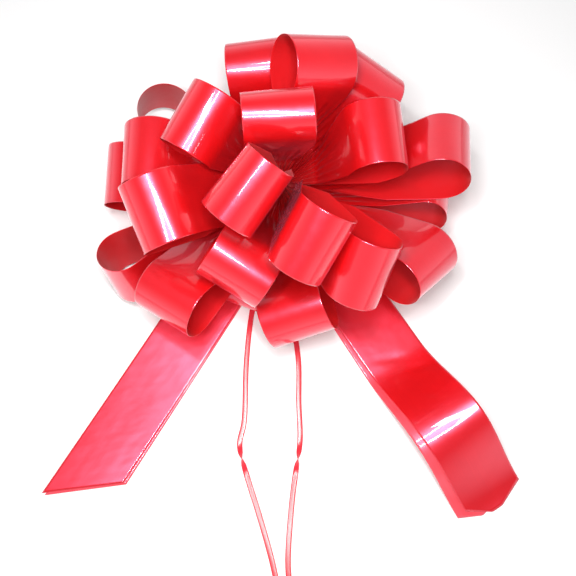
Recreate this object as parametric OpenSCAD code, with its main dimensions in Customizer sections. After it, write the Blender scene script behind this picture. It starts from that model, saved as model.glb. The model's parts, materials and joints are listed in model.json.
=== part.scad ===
// Gathered pull bow. Two plies of ribbon film are welded together at even steps and threaded on
// two pull strings. Pulled tight, every stretch between two welds buckles outwards, the front ply
// on one side and the back ply on the other, and the welds stack up on the strings.
// +Z is up, -Y is towards the tails, and the origin is the middle of the underside.

/* [Ribbon] */
// Width of the ribbon, which scales the whole bow
ribbon_w = 57; // [40:1:80]
// Thickness of one ply
ply_t = 0.5; // [0.3:0.05:0.6]

/* [Loops] */
// Distance from neck to the end of the roll on the longest loop, in ribbon widths
loop_reach = 3.1; // [3:0.05:3.8]
// Radius of a full roll, in ribbon widths
loop_roll = 0.47; // [0.38:0.01:0.48]
// Length of the gathered neck, where both sides of a loop lie together, in ribbon widths
neck_l = 0.8; // [0.6:0.05:0.9]
// Distance from the neck at which the film is back to its full width, in ribbon widths
spread_l = 1.75; // [1.6:0.05:2]
// Width of the film where it is gathered into its weld
neck_w = 3; // [2:0.5:4]

/* [Welds] */
// Radius of a gathered weld
weld_r = 4.5; // [4:0.1:5]
// Height of one weld
weld_h = 3.2; // [2.8:0.1:3.3]
// Height from one weld to the next
weld_pitch = 3.5; // [3.5:0.1:4.2]
// Radius of the tunnel through a weld
tunnel_r = 1.7; // [1.6:0.05:2]
// Radius of the weld at the foot, which holds the tails
foot_r = 6; // [5:0.1:8]
// Height of the weld at the foot
foot_h = 2.6; // [2.2:0.1:2.7]
// Thickness of film left under the tunnel in the foot
foot_skin = 0.8; // [0.4:0.1:1.2]

/* [Tails] */
// Length of the longest edge of a tail, from the middle of the bow
tail_l = 356; // [290:2:430]
// How much shorter the inner edge of the left tail is cut
tail_slant = 46; // [0:1:60]
// Height of the arch in the right tail
arch_h = 34; // [5:1:42]
// Gap between the two plies of a tail
ply_gap = 0.4; // [0.3:0.1:1]

/* [Strings] */
// Width of a pull string
string_w = 5; // [4:0.5:6]
// Thickness of a pull string
string_t = 0.8; // [0.6:0.1:1]
// Radius of the knot that stops the strings on top
knot_r = 2.8; // [2.4:0.1:3]

/* [Hidden] */
// The lengths above in millimetres are those of a bow of 57 mm ribbon
k = ribbon_w / 57;
reach = loop_reach * ribbon_w;
roll_r = loop_roll * ribbon_w;
foot_gap = 0.3 * k;
arc_steps = 36;
arch_steps = 24;

// Two loops for each tier, from the foot up, the front ply's loop first. Each is
// [bearing from +X, rise above level, turn about its own line, reach, roll radius], with the last
// two as a share of the full size.
TIERS = [
  [[-111, 8, 0, 0.68, 0.49], [54, 19, 20, 0.81, 0.96]],
  [[179, 12, -10, 0.92, 0.92], [-7, 11, -30, 0.9, 0.67]],
  [[-83, 21, 20, 0.93, 1], [101, 45, -10, 0.8, 0.98]],
  [[151, 10, -90, 0.85, 0.98], [-126, 19, 10, 1.01, 0.97]],
  [[180, 32, 0, 0.87, 0.98], [2, 24, -20, 1.02, 0.99]],
  [[-38, 18, -25, 1.02, 0.98], [41, 38, 45, 0.82, 0.98]],
  [[-107, 37, -20, 0.88, 0.98], [2, 49, 5, 0.82, 0.98]],
  [[-58, 36, 50, 1.01, 0.94], [-109, 66, 70, 1.02, 0.89]],
  [[-148, 2, -75, 1.02, 0.82], [170, 58, -25, 0.79, 0.98]],
  [[-144, 42, -20, 1, 0.98], [-75, 51, 50, 1.02, 0.93]],
  [[-105, 92, 20, 0.84, 0.82], [64, 57, 45, 0.81, 0.98]]
];
tiers = len(TIERS);
stack_top = (foot_h + (tiers - 1) * weld_pitch + weld_h) * k + foot_gap;

// Where the middle of each pull string runs, as [x, y, z] from the foot of the stack. Both leave
// above the necks of the tails and come down to the table beyond them.
LEFT_STRING = [
  [-2.7, -6.5, 2], [-12, -55, 2], [-20, -90, 0.5], [-27, -125, 0.5], [-31, -170, 0.5],
  [-32, -220, 0.5], [-36, -245, 0.5], [-29, -272, 0.5], [-18, -305, 0.5], [-6, -345, 0.5],
  [0, -375, 0.5], [2, -405, 0.5]
];
RIGHT_STRING = [
  [2.7, -6.5, 2], [6, -45, 2], [10, -90, 0.5], [14, -135, 0.5], [18, -170, 0.5],
  [18, -205, 0.5], [19, -240, 0.5], [15, -268, 0.5], [11, -300, 0.5], [8, -345, 0.5],
  [11, -375, 0.5], [16, -400, 0.5]
];

function two(i) = str(i < 10 ? "0" : "", i);
function tier_names(kind) = [for (i = [1:tiers]) str(kind, two(i))];

red = "crimson";
inner_red = "firebrick";

// ---- outlines ----

function tier_z(i) = foot_gap + (foot_h + (i + 0.5) * weld_h + i * (weld_pitch - weld_h)) * k;

// Points round a roll of radius r centred at [c, 0], between the two lines that leave it for the
// point [c - d, 0]
function roll_arc(r, c, d) =
  let (open = 90 + asin(r / d))
  [for (i = [0:arc_steps]) let (t = open * (2 * i / arc_steps - 1)) [c + r * cos(t), r * sin(t)]];

// Side view of a loop: a gathered neck from the origin, then a teardrop of film
module loop_outline(reach, r) {
  c = reach - r;
  d = c - neck_l * ribbon_w;
  t = ply_t * k;
  shut = c - d + t * d / r;
  difference() {
    polygon(concat([[0, t], [0, -t], [shut, -t]], roll_arc(r, c, d), [[shut, t]]));
    polygon(concat([[shut, 0]], roll_arc(r - t, c, c - shut)));
  }
}

// Plan of a strip that spreads from a gathered end, w0 wide, to the full width of the ribbon
module spread_plan(w0, spread, l, slant = 0) {
  w = ribbon_w / 2;
  polygon([[0, -w0 / 2], [spread, -w], [l, -w], [l - slant, w], [spread, w], [0, w0 / 2]]);
}

// ---- loops and welds ----

module loop(place, tier) {
  reach_here = place[3] * reach;
  difference() {
    translate([0, 0, tier_z(tier)])
      rotate([0, 0, place[0]])
        translate([(weld_r - 0.3) * k, 0, 0])
          rotate([place[2], -place[1], 0])
            intersection() {
              rotate([90, 0, 0])
                linear_extrude(2 * ribbon_w, center = true)
                  loop_outline(reach_here, place[4] * roll_r);
              linear_extrude(3 * roll_r, center = true)
                spread_plan(neck_w * k, spread_l * ribbon_w, reach_here + 1);
            }
    cylinder(r = weld_r * k, h = stack_top, $fn = 48);
  }
}

module weld(tier) {
  color(inner_red)
    translate([0, 0, tier_z(tier) - weld_h * k / 2])
      difference() {
        cylinder(r = weld_r * k, h = weld_h * k, $fn = 48);
        translate([0, 0, -1])
          cylinder(r = tunnel_r * k, h = weld_h * k + 2, $fn = 32);
      }
}

module front_loop(tier) { color(red) loop(TIERS[tier][0], tier); }
module back_loop(tier) { color(red) loop(TIERS[tier][1], tier); }

module foot_weld() {
  color(inner_red)
    difference() {
      cylinder(r = foot_r * k, h = foot_h * k, $fn = 64);
      translate([0, 0, foot_skin * k])
        cylinder(r = tunnel_r * k, h = foot_h * k, $fn = 32);
    }
}

// ---- strings ----

// Both strings run side by side up the tunnel
module string_core() {
  low = (foot_skin + 0.2) * k;
  strip = [2.4 * k, string_t * k, stack_top - low];
  color(inner_red)
    for (side = [-1, 1])
      translate([0, side * (strip.y / 2 + 0.1 * k), low + strip.z / 2])
        cube(strip, center = true);
}

module top_knot() {
  color(inner_red)
    translate([0, 0, stack_top + knot_r * k])
      sphere(knot_r * k, $fn = 32);
}

// A point on a route of straight stretches with softened corners
function route_point(route, u) =
  let (
    last = len(route) - 1,
    i = max(0, min(floor(u), last - 1)),
    f = u - i,
    a = route[max(i - 1, 0)], b = route[i], c = route[i + 1], d = route[min(i + 2, last)]
  )
  0.5 * (2 * b + (c - a) * f + (2 * a - 5 * b + 4 * c - d) * f ^ 2 + (3 * b - a - 3 * c + d) * f ^ 3);

// Eight points round a flat string that passes through p in the direction of v
function string_ring(p, v) =
  let (n = [-v.y, v.x, 0] / norm([v.x, v.y]), w = string_w / 2, h = string_t / 2)
  [for (q = [[-1, -0.5], [-0.8, -1], [0.8, -1], [1, -0.5], [1, 0.5], [0.8, 1], [-0.8, 1], [-1, 0.5]])
    (p + n * q.x * w + [0, 0, q.y * h]) * k];

// Rings along the route, joined into one closed tube
module flat_string(route) {
  steps = 3 * (len(route) - 1);
  rings = [for (i = [0:steps])
    let (u = i / 3)
    string_ring(route_point(route, u), route_point(route, u + 0.05) - route_point(route, u - 0.05))];
  sides = [for (i = [0:steps - 1], j = [0:7])
    let (a = 8 * i + j, b = 8 * i + (j + 1) % 8)
    [a, b, b + 8, a + 8]];
  ends = [[for (j = [7:-1:0]) j], [for (j = [0:7]) 8 * steps + j]];
  polyhedron([for (ring = rings) each ring], concat(ends, sides), convexity = 6);
}

module pull_string_left() { color(red) flat_string(LEFT_STRING); }
module pull_string_right() { color(red) flat_string(RIGHT_STRING); }

// ---- tails ----

// Side view of one ply: flat on the table, then an arch of height h from 55 % of its length on
module ply_outline(l, h) {
  start = 0.55 * l;
  top = [for (i = [0:arch_steps]) let (s = i / arch_steps)
    [start + s * (l - start), h * sin(180 * s) ^ 2]];
  t = [0, ply_t * k];
  under = h > 0 ? [for (i = [arch_steps:-1:0]) top[i]] : [[l, 0]];
  over = h > 0 ? [for (p = top) p + t] : [[l, 0] + t];
  polygon(concat([[0, 0], t], over, under));
}

// A ply of a tail, pointing along bearing, with its underside z above the table
module tail_ply(bearing, z, h, slant) {
  l = tail_l * k;
  difference() {
    rotate([0, 0, bearing])
      intersection() {
        translate([0, 0, z])
          rotate([90, 0, 0])
            linear_extrude(2 * ribbon_w, center = true)
              ply_outline(l + 1, h);
        linear_extrude(200 * k, center = true)
          spread_plan(2 * k, 2 * ribbon_w, l, slant);
      }
    translate([0, 0, -1])
      cylinder(r = foot_r * k, h = 10 * k, $fn = 64);
  }
}

left_bearing = -122;
right_bearing = -56.5;
over_z = (ply_t + ply_gap) * k;

module tail_left_front() { color(red) tail_ply(left_bearing, over_z, 0, tail_slant * k); }
module tail_left_back() { color(inner_red) tail_ply(left_bearing + 0.5, 0, 0, tail_slant * k); }
module tail_right_front() { color(red) tail_ply(right_bearing, over_z, (arch_h + 1.5) * k, 6 * k); }
module tail_right_back() { color(inner_red) tail_ply(right_bearing - 1.5, 0, arch_h * k, 6 * k); }

// ---- the bow ----

foot_weld();
string_core();
top_knot();
for (i = [0:tiers - 1]) {
  weld(i);
  front_loop(i);
  back_loop(i);
}
tail_left_front();
tail_left_back();
tail_right_front();
tail_right_back();
pull_string_left();
pull_string_right();
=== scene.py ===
"""Gathered pull bow in pearlised red ribbon, on a pale table. Lengths are in metres."""

import json
import math

import bmesh
import bpy
import numpy as np
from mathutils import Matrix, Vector


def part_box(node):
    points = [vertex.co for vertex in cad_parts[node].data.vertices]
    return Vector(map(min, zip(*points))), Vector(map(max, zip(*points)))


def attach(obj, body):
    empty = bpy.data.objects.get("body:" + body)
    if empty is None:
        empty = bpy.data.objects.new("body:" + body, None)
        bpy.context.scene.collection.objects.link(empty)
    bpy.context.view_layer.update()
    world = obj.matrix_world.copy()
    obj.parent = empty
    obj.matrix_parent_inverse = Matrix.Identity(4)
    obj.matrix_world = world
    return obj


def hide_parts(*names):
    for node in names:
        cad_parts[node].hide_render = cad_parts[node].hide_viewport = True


bl_info = {
    "name": "Pull bow",
    "version": (1, 0, 0),
    "blender": (4, 5, 0),
    "location": "3D View > Sidebar > Bow",
    "description": "Builds a gathered pull bow, its tails and pull strings, and a small studio",
    "category": "Add Mesh",
}

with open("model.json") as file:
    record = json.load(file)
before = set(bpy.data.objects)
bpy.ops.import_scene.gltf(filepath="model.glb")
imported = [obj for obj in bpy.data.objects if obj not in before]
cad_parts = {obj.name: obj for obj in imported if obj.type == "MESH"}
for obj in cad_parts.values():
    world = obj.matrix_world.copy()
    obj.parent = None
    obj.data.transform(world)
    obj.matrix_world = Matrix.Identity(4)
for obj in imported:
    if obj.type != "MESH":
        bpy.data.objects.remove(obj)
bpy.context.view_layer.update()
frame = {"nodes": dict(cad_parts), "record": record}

MM = 0.001
RIBBON_WIDTH = 0.057
TIERS = 11
# Largest random phase of a wave, in radians
FULL_TURN = 6.28

# Points along and across the mesh of a loop and of a tail, and points round a string
LOOP_ROWS, LOOP_COLUMNS = 161, 49
TAIL_ROWS, TAIL_COLUMNS = 121, 33
STRING_SIDES = 12

# A CAD loop starts at its points this near the one closest to the weld, and its roll is its points
# beyond this share of the greatest distance from the weld
START_NEAR = 0.0008
ROLL_SHARE = 0.62
# Points round the roll of a loop's outline, points along an outline that is measured, and how many
# times its corners are rounded off
ROLL_POINTS = 60
MEASURED_POINTS = 400
ROUNDINGS = 4
# Shares by which a roll may narrow to one side, and its film bow out on the way to full width
TAPER = 0.04
BOW_OUT = 0.05

# Second shades of the strings and of the welds, and tints of the sheen inside a loop and on the
# lower ply of a tail
STRING_SHADE = (0.6, 0.02, 0.04)
WELD_SHADE = (0.35, 0.003, 0.008)
INSIDE_SHEEN = (1.0, 0.7, 0.74, 1)
LINING_SHEEN = (1.0, 0.7, 0.76, 1)

# Bearing from +X in degrees, height of the underside, height of the arch, and how far the end is cut
# back at four places across it, in millimetres
TAILS = {
    "tail_left_front": (-122, 0.9, 0, (0, 16.6, 25.3, 46)),
    "tail_left_back": (-121.5, 0.1, 0, (0, 16.6, 25.3, 46)),
    "tail_right_front": (-56.5, 0.9, 35.5, (12, -2, -2, 8)),
    "tail_right_back": (-58, 0.1, 34, (10, 0, 2, 12)),
}
# Those four places, from -1 at one edge to 1 at the other
CUT_PLACES = (-1, -0.28, 0.1, 1)

# A tail in millimetres: its length, where its film starts, where it reaches full width, half its width
# at the foot and when spread, and how much higher one edge of the arch is than its middle
TAIL_LENGTH = 356
TAIL_START = 6.2
TAIL_SPREAD = 114
TAIL_FOOT_HALF = 1.0
TAIL_HALF = 28.5
ARCH_TILT = 5.5
# Share of the length at which the arch starts
ARCH_START = 0.55
# Half the height in millimetres of the pleats at the foot and of the swell in the spread film, and
# the length of one radian of the swell
TAIL_PLEAT = 0.35
TAIL_SWELL = 0.4
SWELL_LENGTH = 38
# Creases in the arched tail: distance along it and share across it
CREASES = ((212, 0.5), (196, -0.2))
# A crease's slant, half width and depth in millimetres, and the share of the tail that it covers
CREASE_SLANT = 10
CREASE_HALF = 3.5
CREASE_DEPTH = 0.7
CREASE_SHARE = 0.45

# Middle of each pull string, in millimetres, as in the CAD
STRINGS = {
    "pull_string_left": [
        (-2.7, -6.5, 2), (-12, -55, 2), (-20, -90, 0.5), (-27, -125, 0.5), (-31, -170, 0.5),
        (-32, -220, 0.5), (-36, -245, 0.5), (-29, -272, 0.5), (-18, -305, 0.5), (-6, -345, 0.5),
        (0, -375, 0.5), (2, -405, 0.5),
    ],
    "pull_string_right": [
        (2.7, -6.5, 2), (6, -45, 2), (10, -90, 0.5), (14, -135, 0.5), (18, -170, 0.5),
        (18, -205, 0.5), (19, -240, 0.5), (15, -268, 0.5), (11, -300, 0.5), (8, -345, 0.5),
        (11, -375, 0.5), (16, -400, 0.5),
    ],
}
# Share of its length at which each string turns over, and how sharply it does
TWISTS = {"pull_string_left": 0.585, "pull_string_right": 0.6}
TWIST_RATE = 90
# Power that shapes a string's section: 1 makes an ellipse, and nearer 0 is nearer a rectangle
SECTION_POWER = 0.6

# Half the width of the table, where the camera stands and what it looks at
TABLE_HALF = 4
CAMERA_PLACE = (0.008, -0.2966, 0.7487)
CAMERA_AIM = (0.008, -0.096, 0)
# Middle of the square of light panels, what they face, how far each is from the middle, and its size
PANELS_MIDDLE = (-0.05, -0.22, 0.85)
PANELS_TARGET = (0, -0.05, 0.05)
PANEL_OUT = 0.12
PANEL_LONG, PANEL_NARROW = 0.32, 0.04


# ---- settings ----


class BowSettings(bpy.types.PropertyGroup):
    """Sizes and finishes that the operators share."""

    red: bpy.props.FloatVectorProperty(
        name="Red", description="Outside of the ribbon", default=(0.86, 0.008, 0.010), subtype="COLOR"
    )
    deep_red: bpy.props.FloatVectorProperty(
        name="Deep red", description="Darker patches of the ribbon", default=(0.66, 0.005, 0.007),
        subtype="COLOR",
    )
    inner_red: bpy.props.FloatVectorProperty(
        name="Inner red", description="Inside of a loop", default=(0.62, 0.016, 0.020), subtype="COLOR"
    )
    # Painted reflection: the upper face of a tail's lower ply gets a lighter, pinker red that stands in
    # for the lights reflected in its gloss
    lining_painted_reflection: bpy.props.FloatVectorProperty(
        name="Lining red", description="Upper face of a tail's lower ply", default=(0.90, 0.13, 0.17),
        subtype="COLOR",
    )
    string_red: bpy.props.FloatVectorProperty(
        name="String red", description="Pull strings", default=(0.72, 0.05, 0.07), subtype="COLOR"
    )
    pearl: bpy.props.FloatVectorProperty(
        name="Pearl", description="Tint of the sheen on the film", default=(1.0, 0.34, 0.58),
        subtype="COLOR",
    )
    film: bpy.props.FloatProperty(
        name="Film", description="Thickness of one ply", default=0.00015, unit="LENGTH"
    )
    pleat: bpy.props.FloatProperty(
        name="Pleat", description="Depth of the pleats in a gathered neck", default=0.0016, unit="LENGTH"
    )
    neck: bpy.props.FloatProperty(
        name="Neck", description="Length over which both sides of a loop lie together", default=0.0456,
        unit="LENGTH",
    )
    gathered: bpy.props.FloatProperty(
        name="Gathered", description="Half width of the film in its weld", default=0.0015, unit="LENGTH"
    )
    wave: bpy.props.FloatProperty(
        name="Wave", description="How far the film strays from a true roll", default=0.0005, unit="LENGTH"
    )
    spread: bpy.props.FloatProperty(
        name="Spread", description="Distance from the weld to full width", default=0.0998, unit="LENGTH"
    )
    string_width: bpy.props.FloatProperty(
        name="String width", description="Width of a pull string", default=0.005, unit="LENGTH"
    )
    string_thickness: bpy.props.FloatProperty(
        name="String thickness", description="Thickness of a pull string", default=0.0008, unit="LENGTH"
    )
    lens: bpy.props.FloatProperty(
        name="Lens", description="Focal length of the camera", default=50.5, unit="CAMERA"
    )
    panel_radiance: bpy.props.FloatProperty(
        name="Panel radiance", description="Brightness of the light panels round the camera", default=56.0
    )
    fill: bpy.props.FloatProperty(
        name="Fill", description="Brightness of the surroundings at the horizon", default=1.2
    )


def settings():
    """The values that the panel shows."""
    return bpy.context.scene.bow_settings


# ---- node helpers ----


def new_group(name, inputs, outputs):
    """A shader node group with its own input and output nodes. Sockets are {name: (type, default)}."""
    group = bpy.data.node_groups.new(name, "ShaderNodeTree")
    for direction, sockets in (("INPUT", inputs), ("OUTPUT", outputs)):
        for label, (kind, default) in sockets.items():
            socket = group.interface.new_socket(label, in_out=direction, socket_type=kind)
            if default is not None:
                socket.default_value = default
    return group, group.nodes.new("NodeGroupInput"), group.nodes.new("NodeGroupOutput")


def math_node(tree, operation, first, second):
    """A Math node fed by sockets or plain numbers. Returns its output."""
    node = tree.nodes.new("ShaderNodeMath")
    node.operation = operation
    for socket, value in zip(node.inputs, (first, second)):
        if isinstance(value, bpy.types.NodeSocket):
            tree.links.new(value, socket)
        else:
            socket.default_value = value
    return node.outputs[0]


def noise(tree, vector, scale, detail=3.0, rough=0.5):
    """A noise pattern from 0 to 1. Returns its output."""
    node = tree.nodes.new("ShaderNodeTexNoise")
    tree.links.new(vector, node.inputs["Vector"])
    node.inputs["Scale"].default_value = scale
    node.inputs["Detail"].default_value = detail
    node.inputs["Roughness"].default_value = rough
    return node.outputs["Fac"]


def stretched(tree, vector, scale):
    """The coordinates multiplied by a scale for each axis. Returns its output."""
    node = tree.nodes.new("ShaderNodeMapping")
    tree.links.new(vector, node.inputs["Vector"])
    node.inputs["Scale"].default_value = scale
    return node.outputs["Vector"]


def film_group():
    """Fine lines along extruded film, faint handling marks and a low swell in its surface."""
    group, given, made = new_group(
        "ribbon_film",
        {"Vector": ("NodeSocketVector", None), "Lines": ("NodeSocketFloat", 1.0)},
        {
            "Tint": ("NodeSocketFloat", None),
            "Roughness": ("NodeSocketFloat", None),
            "Height": ("NodeSocketFloat", None),
        },
    )
    vector = given.outputs["Vector"]
    lines = noise(group, stretched(group, vector, (900, 14, 14)), 1.0, 2.0)
    clouds = noise(group, vector, 45.0, 3.0)
    marks = noise(group, stretched(group, vector, (260, 420, 300)), 1.0, 5.0, 0.7)
    swell = noise(group, vector, 60.0, 1.0)
    lined = math_node(group, "MULTIPLY", lines, given.outputs["Lines"])
    tint = math_node(group, "MULTIPLY", clouds, 0.6)
    lined_tint = math_node(group, "MULTIPLY", lined, 0.3)
    lined_height = math_node(group, "MULTIPLY", lined, 0.04)
    group.links.new(math_node(group, "ADD", tint, lined_tint), made.inputs["Tint"])
    group.links.new(math_node(group, "MULTIPLY", marks, 0.10), made.inputs["Roughness"])
    group.links.new(math_node(group, "ADD", lined_height, swell), made.inputs["Height"])
    return group


def coordinates(tree, uv):
    """Metres across and along the film, or the object's own axes for a piece with no film map."""
    if uv:
        node = tree.nodes.new("ShaderNodeUVMap")
        node.uv_map = "film"
        return node.outputs["UV"]
    return tree.nodes.new("ShaderNodeTexCoord").outputs["Object"]


def film_material(name, colours, values, uv=True, bump=0.0004):
    """Ribbon film. colours are two shades that the clouds mix, and values are set on the shader.
    uv says whether the piece has a film map, and bump is the depth of the relief."""
    material = bpy.data.materials.new(name)
    material.use_nodes = True
    tree = material.node_tree
    shader = tree.nodes["Principled BSDF"]
    film = tree.nodes.new("ShaderNodeGroup")
    film.node_tree = bpy.data.node_groups.get("ribbon_film") or film_group()
    tree.links.new(coordinates(tree, uv), film.inputs["Vector"])
    mix = tree.nodes.new("ShaderNodeMix")
    mix.data_type = "RGBA"
    mix.inputs["A"].default_value = (*colours[0], 1)
    mix.inputs["B"].default_value = (*colours[1], 1)
    tree.links.new(film.outputs["Tint"], mix.inputs["Factor"])
    tree.links.new(mix.outputs["Result"], shader.inputs["Base Color"])
    base = values.pop("Roughness")
    tree.links.new(math_node(tree, "ADD", film.outputs["Roughness"], base), shader.inputs["Roughness"])
    relief = tree.nodes.new("ShaderNodeBump")
    relief.inputs["Strength"].default_value = 0.6
    relief.inputs["Distance"].default_value = bump
    tree.links.new(film.outputs["Height"], relief.inputs["Height"])
    tree.links.new(relief.outputs["Normal"], shader.inputs["Normal"])
    for socket, value in values.items():
        shader.inputs[socket].default_value = value
    return material


def shared(name):
    """The bow's materials, made once."""
    if name in bpy.data.materials:
        return bpy.data.materials[name]
    s = settings()
    pearl = (*s.pearl, 1)
    if name == "ribbon_outside":
        return film_material(name, (s.red, s.deep_red), {
            "Roughness": 0.25, "Metallic": 0.15, "IOR": 1.85, "Specular IOR Level": 0.9,
            "Specular Tint": pearl, "Coat Weight": 1.0, "Coat Roughness": 0.04,
            "Sheen Weight": 0.05, "Sheen Roughness": 0.35, "Sheen Tint": pearl,
        })
    if name == "ribbon_inside":
        return film_material(name, (s.inner_red, s.deep_red), {
            "Roughness": 0.34, "Specular IOR Level": 0.4, "Specular Tint": pearl,
            "Sheen Weight": 0.12, "Sheen Roughness": 0.4, "Sheen Tint": INSIDE_SHEEN,
        })
    # Painted reflection: a lighter, pinker film for the upper face of a tail's lower ply, standing in for
    # the lights shining back from it
    if name == "ribbon_lining_painted_reflection":
        return film_material(name, (s.lining_painted_reflection, s.red), {
            "Roughness": 0.3, "IOR": 1.6, "Specular IOR Level": 0.8, "Specular Tint": pearl,
            "Coat Weight": 0.8, "Coat Roughness": 0.1,
            "Sheen Weight": 0.5, "Sheen Roughness": 0.4, "Sheen Tint": LINING_SHEEN,
        })
    if name == "string_film":
        return film_material(name, (s.string_red, STRING_SHADE), {
            "Roughness": 0.3, "Coat Weight": 0.6, "Coat Roughness": 0.12,
            "Sheen Weight": 0.3, "Sheen Tint": pearl,
        })
    return film_material(name, (s.deep_red, WELD_SHADE), {
        "Roughness": 0.35, "Coat Weight": 0.5, "Coat Roughness": 0.1,
    }, uv=False, bump=0.0008)


# ---- mesh helpers ----


def film_object(name, grid, outward=None):
    """A smooth sheet of film through a grid of points, rows along it and columns across it. Its UV
    map is in metres across and along. outward is a direction that the middle of it should face."""
    rows, columns, _ = grid.shape
    quads = [
        (r * columns + c, r * columns + c + 1, (r + 1) * columns + c + 1, (r + 1) * columns + c)
        for r in range(rows - 1)
        for c in range(columns - 1)
    ]
    if outward is not None:
        r, c = rows // 2, columns // 2
        facing = np.cross(grid[r, c + 1] - grid[r, c - 1], grid[r + 1, c] - grid[r - 1, c])
        if facing @ outward < 0:
            quads = [q[::-1] for q in quads]
    mesh = bpy.data.meshes.new(name)
    mesh.from_pydata(grid.reshape(-1, 3).tolist(), [], quads)
    middle = grid[:, columns // 2]
    along = np.concatenate([[0], np.cumsum(np.linalg.norm(np.diff(middle, axis=0), axis=1))])
    across = np.linspace(0, RIBBON_WIDTH, columns)
    film_map = mesh.uv_layers.new(name="film")
    for loop in mesh.loops:
        r, c = divmod(loop.vertex_index, columns)
        film_map.data[loop.index].uv = (across[c], along[r])
    mesh.polygons.foreach_set("use_smooth", [True] * len(mesh.polygons))
    obj = bpy.data.objects.new(name, mesh)
    bpy.context.collection.objects.link(obj)
    return obj


def finish_film(obj, outside="ribbon_outside", inside="ribbon_inside"):
    """Gives film its thickness, with one material outside and the other inside."""
    obj.data.materials.append(shared(outside))
    obj.data.materials.append(shared(inside))
    thick = obj.modifiers.new("ply", "SOLIDIFY")
    thick.thickness = settings().film
    thick.offset = -1
    thick.material_offset = 1


def bodies_by_node():
    """The body that each CAD node rides on."""
    groups = frame["record"]["behaviour"]["bodies"]
    return {node: body for body, nodes in groups.items() for node in nodes}


def declare(obj, node):
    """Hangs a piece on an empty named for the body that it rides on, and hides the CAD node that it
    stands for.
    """
    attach(obj, bodies_by_node()[node])
    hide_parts(node)


# ---- loops ----


class LoopFrame:
    """Where a CAD loop starts, which way it runs and how large it is."""

    def __init__(self, node, weld):
        obj = frame["nodes"][node]
        points = np.array([obj.matrix_world @ v.co for v in obj.data.vertices])
        hub = np.mean([list(c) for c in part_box(weld)], axis=0)
        gap = np.linalg.norm(points - hub, axis=1)
        self.start = points[gap < gap.min() + START_NEAR].mean(axis=0)
        far = points[gap > ROLL_SHARE * gap.max()]
        middle = far.mean(axis=0)
        self.along = (middle - self.start) / np.linalg.norm(middle - self.start)
        flat = far - middle
        flat = flat - np.outer(flat @ self.along, self.along)
        self.wide = np.linalg.svd(flat, full_matrices=False)[2][0]
        self.thick = np.cross(self.along, self.wide)
        if self.thick[2] < 0:
            self.thick = -self.thick
        self.wide = np.cross(self.thick, self.along)
        offsets = points - self.start
        self.reach = (offsets @ self.along).max()
        self.roll = np.abs(flat @ self.thick).max()
        self.half = np.abs(flat @ self.wide).max()


def loop_profile(shape, count):
    """Reach and height of points round a loop: along the flat neck, out to the roll and back."""
    neck, film = settings().neck, settings().film
    middle = shape.reach - shape.roll
    span = middle - neck
    half_turn = math.pi / 2 + math.asin(shape.roll / span)
    arc = np.linspace(half_turn, -half_turn, ROLL_POINTS)
    reach = np.concatenate([[0, neck], middle + shape.roll * np.cos(arc), [neck, 0]])
    height = np.concatenate([[film, film], shape.roll * np.sin(arc), [-film, -film]])
    run = np.concatenate([[0], np.cumsum(np.hypot(np.diff(reach), np.diff(height)))])
    even = np.linspace(0, run[-1], count)
    return soften(np.interp(even, run, reach)), soften(np.interp(even, run, height))


def soften(values):
    """Rounds off the corners in a row of values and keeps its ends."""
    for _ in range(ROUNDINGS):
        values[1:-1] = (values[:-2] + 2 * values[1:-1] + values[2:]) / 4
    return values


def loop_grid(shape, seed):
    """Points of a loop's film, with pleats at the neck and a roll that narrows to one side."""
    s = settings()
    rng = np.random.default_rng(seed)
    phase = rng.uniform(0, FULL_TURN, 4)
    taper = rng.uniform(-TAPER, TAPER)
    across = np.linspace(-1, 1, LOOP_COLUMNS)[None, :]
    x, height = (values[:, None] for values in loop_profile(shape, LOOP_ROWS))
    opened = np.clip(x / s.spread, 0, 1)
    bowed = opened + BOW_OUT * np.sin(math.pi * opened)
    half = s.gathered + (shape.half - s.gathered) * bowed
    pleats = s.pleat * (1 - opened) ** 1.2 * np.sin(6 * math.pi * across + phase[0] + 3 * x / s.spread)
    swell = s.wave * (1 + np.sin(24 * x / shape.reach + phase[1]) * np.cos(2 * across + phase[2])) / 2
    y = height * (1 - abs(taper) + taper * across) - np.sign(height) * swell * opened + pleats
    z = across * half
    return (
        shape.start
        + x[..., None] * shape.along
        + y[..., None] * shape.thick
        + z[..., None] * shape.wide
    )


def loop_length(shape):
    """Length of ply in a loop, measured round it."""
    reach, height = loop_profile(shape, MEASURED_POINTS)
    return np.hypot(np.diff(reach), np.diff(height)).sum()


class BOW_OT_loops(bpy.types.Operator):
    """Build the loops of both plies"""

    bl_idname = "bow.loops"
    bl_label = "Loops"

    def execute(self, context):
        for ply in ("front", "back"):
            for tier in range(1, TIERS + 1):
                node = f"{ply}_loop_{tier:02d}"
                weld = f"weld_{tier:02d}"
                shape = LoopFrame(node, weld)
                seed = tier + 20 * (ply == "back")
                obj = film_object(f"ribbon_{node}", loop_grid(shape, seed), shape.along)
                finish_film(obj)
                declare(obj, node)
                loop_length(shape)
        return {"FINISHED"}


# ---- tails ----


def crease(s, across, place, side):
    """A short dent across a tail, where the film was bent by hand."""
    along = (s - place - CREASE_SLANT * across) / CREASE_HALF
    aside = (across - side) / CREASE_SHARE
    return -CREASE_DEPTH * np.exp(-(along**2) - aside**2)


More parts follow.
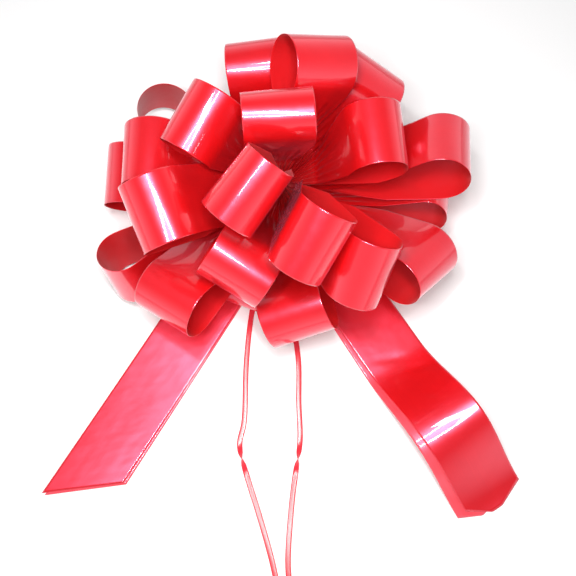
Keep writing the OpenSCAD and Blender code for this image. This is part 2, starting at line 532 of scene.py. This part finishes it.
def tail_grid(bearing, lift, arch, cuts, seed):
    """Points of one ply of a tail, from its pleated neck at the foot to its cut end."""
    rng = np.random.default_rng(seed)
    phase = rng.uniform(0, FULL_TURN, 3)
    angle = math.radians(bearing)
    ahead = np.array([math.cos(angle), math.sin(angle), 0])
    aside = np.array([-math.sin(angle), math.cos(angle), 0])
    share = np.linspace(0, 1, TAIL_ROWS)[:, None]
    across = np.linspace(-1, 1, TAIL_COLUMNS)[None, :]
    end = TAIL_LENGTH - np.interp(across, CUT_PLACES, cuts)
    s = TAIL_START + share * (end - TAIL_START)
    opened = np.clip(s / TAIL_SPREAD, 0, 1)
    half = TAIL_FOOT_HALF + (TAIL_HALF - TAIL_FOOT_HALF) * opened
    pleats = TAIL_PLEAT * (1 - opened) * (1 + np.sin(4 * math.pi * across + phase[0]))
    swell = TAIL_SWELL * opened * (1 + np.sin(s / SWELL_LENGTH + across + phase[1]))
    z = lift + pleats + swell
    if arch:
        rise = np.clip((s / TAIL_LENGTH - ARCH_START) / (1 - ARCH_START), 0, 1)
        z = z + (arch + ARCH_TILT * across) * np.sin(math.pi * rise) ** 2
        z = z + sum(crease(s, across, *where) for where in CREASES)
    points = s[..., None] * ahead + (half * across)[..., None] * aside
    points[..., 2] += z
    return MM * points


class BOW_OT_tails(bpy.types.Operator):
    """Build both plies of both tails"""

    bl_idname = "bow.tails"
    bl_label = "Tails"

    def execute(self, context):
        for number, (node, place) in enumerate(TAILS.items()):
            seed = 50 + number // 2
            obj = film_object(f"ribbon_{node}", tail_grid(*place, seed), np.array([0, 0, 1.0]))
            front = node.endswith("front")
            # The lower ply's upper face takes the lining, whose lighter pink is a painted reflection
            finish_film(obj, "ribbon_outside" if front else "ribbon_lining_painted_reflection")
            declare(obj, node)
        return {"FINISHED"}


# ---- strings ----


def smooth_route(points, per_stretch=8):
    """The route through the points, softened at each of them."""
    p = np.array(points, float)
    p = np.vstack([p[0], p, p[-1]])
    steps = np.linspace(0, 1, per_stretch, endpoint=False)[:, None]
    route = []
    for a, b, c, d in zip(p[:-3], p[1:-2], p[2:-1], p[3:]):
        route.append(0.5 * (2 * b + (c - a) * steps + (2 * a - 5 * b + 4 * c - d) * steps**2
                            + (3 * b - a - 3 * c + d) * steps**3))
    return np.vstack([*route, p[-1]])


def string_grid(route, twist_at):
    """Rings of a flat string along its route, turned over once at the share twist_at."""
    s = settings()
    run = np.gradient(route, axis=0)
    run /= np.linalg.norm(run, axis=1)[:, None]
    side = np.cross(run, (0, 0, 1))
    side /= np.linalg.norm(side, axis=1)[:, None]
    up = np.cross(side, run)
    share = np.linspace(0, 1, len(route))
    turn = math.pi / (1 + np.exp(-(share - twist_at) * TWIST_RATE))
    lift = 0.5 * (s.string_width - s.string_thickness) * np.abs(np.sin(turn))
    ring = np.linspace(0, 2 * math.pi, STRING_SIDES + 1)
    flat = 0.5 * s.string_width * np.sign(np.cos(ring)) * np.abs(np.cos(ring)) ** SECTION_POWER
    deep = 0.5 * s.string_thickness * np.sign(np.sin(ring)) * np.abs(np.sin(ring)) ** SECTION_POWER
    x = flat[None, :] * np.cos(turn)[:, None] - deep[None, :] * np.sin(turn)[:, None]
    z = flat[None, :] * np.sin(turn)[:, None] + deep[None, :] * np.cos(turn)[:, None]
    middle = route + lift[:, None] * np.array([0, 0, 1])
    return middle[:, None, :] + x[..., None] * side[:, None, :] + z[..., None] * up[:, None, :]


class BOW_OT_strings(bpy.types.Operator):
    """Lay the pull strings on the table"""

    bl_idname = "bow.strings"
    bl_label = "Pull strings"

    def execute(self, context):
        for node, twist_at in TWISTS.items():
            route = MM * smooth_route(STRINGS[node])
            obj = film_object(f"film_{node}", string_grid(route, twist_at))
            close_ends(obj.data, STRING_SIDES + 1)
            obj.data.materials.append(shared("string_film"))
            declare(obj, node)
        return {"FINISHED"}


def close_ends(mesh, columns):
    """Joins a tube's seam and caps both its ends."""
    work = bmesh.new()
    work.from_mesh(mesh)
    bmesh.ops.remove_doubles(work, verts=work.verts, dist=1e-6)
    bmesh.ops.holes_fill(work, edges=[e for e in work.edges if e.is_boundary], sides=columns)
    bmesh.ops.recalc_face_normals(work, faces=work.faces)
    work.to_mesh(mesh)
    work.free()


# ---- the stack of welds ----


class BOW_OT_stack(bpy.types.Operator):
    """Finish the welds, the strings inside them and the knot"""

    bl_idname = "bow.stack"
    bl_label = "Stack"

    def execute(self, context):
        for node in ["foot_weld", *(f"weld_{tier:02d}" for tier in range(1, TIERS + 1))]:
            self.paint(node, "weld_film", "weld_film")
        for node in ("string_core", "top_knot"):
            self.paint(node, "string_film_plain", "string_film")
        return {"FINISHED"}

    def paint(self, node, material, slot):
        """Gives a CAD node its material."""
        obj = frame["nodes"][node]
        obj.data.materials.clear()
        obj.data.materials.append(shared(material))


# ---- stage ----


def panel(name, place, size, radiance, target):
    """A light panel of that radiance, facing the target."""
    light = bpy.data.lights.new(name, "AREA")
    light.shape = "RECTANGLE"
    light.size, light.size_y = size
    light.energy = radiance * math.pi * size[0] * size[1]
    obj = bpy.data.objects.new(name, light)
    bpy.context.collection.objects.link(obj)
    obj.location = place
    obj.rotation_euler = (Vector(target) - Vector(place)).to_track_quat("-Z", "Y").to_euler()
    return obj


def table_material():
    """A pale table top with small changes in its gloss."""
    material = bpy.data.materials.new("table_top")
    material.use_nodes = True
    tree = material.node_tree
    shader = tree.nodes["Principled BSDF"]
    shader.inputs["Base Color"].default_value = (0.96, 0.96, 0.96, 1)
    where = tree.nodes.new("ShaderNodeTexCoord").outputs["Object"]
    rough = math_node(tree, "MULTIPLY", noise(tree, where, 20.0), 0.1)
    tree.links.new(math_node(tree, "ADD", rough, 0.55), shader.inputs["Roughness"])
    return material


class BOW_OT_stage(bpy.types.Operator):
    """Set up the table, lights, surroundings and camera"""

    bl_idname = "bow.stage"
    bl_label = "Stage"

    def execute(self, context):
        mesh = bpy.data.meshes.new("table")
        corners = [(x * TABLE_HALF, y * TABLE_HALF, 0) for x, y in ((-1, -1), (1, -1), (1, 1), (-1, 1))]
        mesh.from_pydata(corners, [], [(0, 1, 2, 3)])
        mesh.materials.append(table_material())
        table = bpy.data.objects.new("table", mesh)
        context.collection.objects.link(table)
        camera = self.camera(context)
        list(self.lights(camera))
        self.surroundings(context)
        context.scene.view_settings.view_transform = "Standard"
        return {"FINISHED"}

    def camera(self, context):
        """A camera nearly overhead, on the side of the tails."""
        camera = bpy.data.objects.new("camera", bpy.data.cameras.new("camera"))
        context.collection.objects.link(camera)
        camera.data.lens = settings().lens
        camera.location = CAMERA_PLACE
        aim = Vector(CAMERA_AIM) - camera.location
        camera.rotation_euler = aim.to_track_quat("-Z", "Y").to_euler()
        context.scene.camera = camera
        return camera

    def lights(self, camera):
        """Four panels in a square round the camera, a little up and to the left."""
        radiance = settings().panel_radiance
        made = []
        for name, x, y, size in (
            ("panel_left", -PANEL_OUT, 0, (PANEL_NARROW, PANEL_LONG)),
            ("panel_right", PANEL_OUT, 0, (PANEL_NARROW, PANEL_LONG)),
            ("panel_far", 0, PANEL_OUT, (PANEL_LONG, PANEL_NARROW)),
            ("panel_near", 0, -PANEL_OUT, (PANEL_LONG, PANEL_NARROW)),
        ):
            place = Vector(PANELS_MIDDLE) + Vector((x, y, 0))
            made.append(panel(name, place, size, radiance, PANELS_TARGET))
        return made

    def surroundings(self, context):
        """White surroundings that are brightest at the horizon."""
        world = bpy.data.worlds.new("surroundings")
        context.scene.world = world
        world.use_nodes = True
        tree = world.node_tree
        height = tree.nodes.new("ShaderNodeSeparateXYZ")
        tree.links.new(tree.nodes.new("ShaderNodeTexCoord").outputs["Generated"], height.inputs[0])
        fade = tree.nodes.new("ShaderNodeMapRange")
        tree.links.new(height.outputs["Z"], fade.inputs["Value"])
        fade.inputs["From Max"].default_value = 0.7
        fade.inputs["To Min"].default_value = settings().fill
        fade.inputs["To Max"].default_value = 0.15
        tree.links.new(fade.outputs["Result"], tree.nodes["Background"].inputs["Strength"])
        tree.nodes["Background"].inputs["Color"].default_value = (1, 1, 1, 1)


# ---- add-on ----


class BOW_PT_panel(bpy.types.Panel):
    """Settings and steps of the bow"""

    bl_idname = "BOW_PT_panel"
    bl_label = "Pull bow"
    bl_space_type = "VIEW_3D"
    bl_region_type = "UI"
    bl_category = "Bow"

    def draw(self, context):
        for name in BowSettings.__annotations__:
            self.layout.prop(context.scene.bow_settings, name)
        for operator in STEPS:
            self.layout.operator(operator.bl_idname)


STEPS = (BOW_OT_stack, BOW_OT_loops, BOW_OT_tails, BOW_OT_strings, BOW_OT_stage)
CLASSES = (BowSettings, *STEPS, BOW_PT_panel)


def register():
    for cls in CLASSES:
        bpy.utils.register_class(cls)
    bpy.types.Scene.bow_settings = bpy.props.PointerProperty(type=BowSettings)


def unregister():
    del bpy.types.Scene.bow_settings
    for cls in reversed(CLASSES):
        bpy.utils.unregister_class(cls)


def main():
    register()
    for step in STEPS:
        getattr(bpy.ops.bow, step.bl_idname.split(".")[1])()


if __name__ == "__main__":
    main()
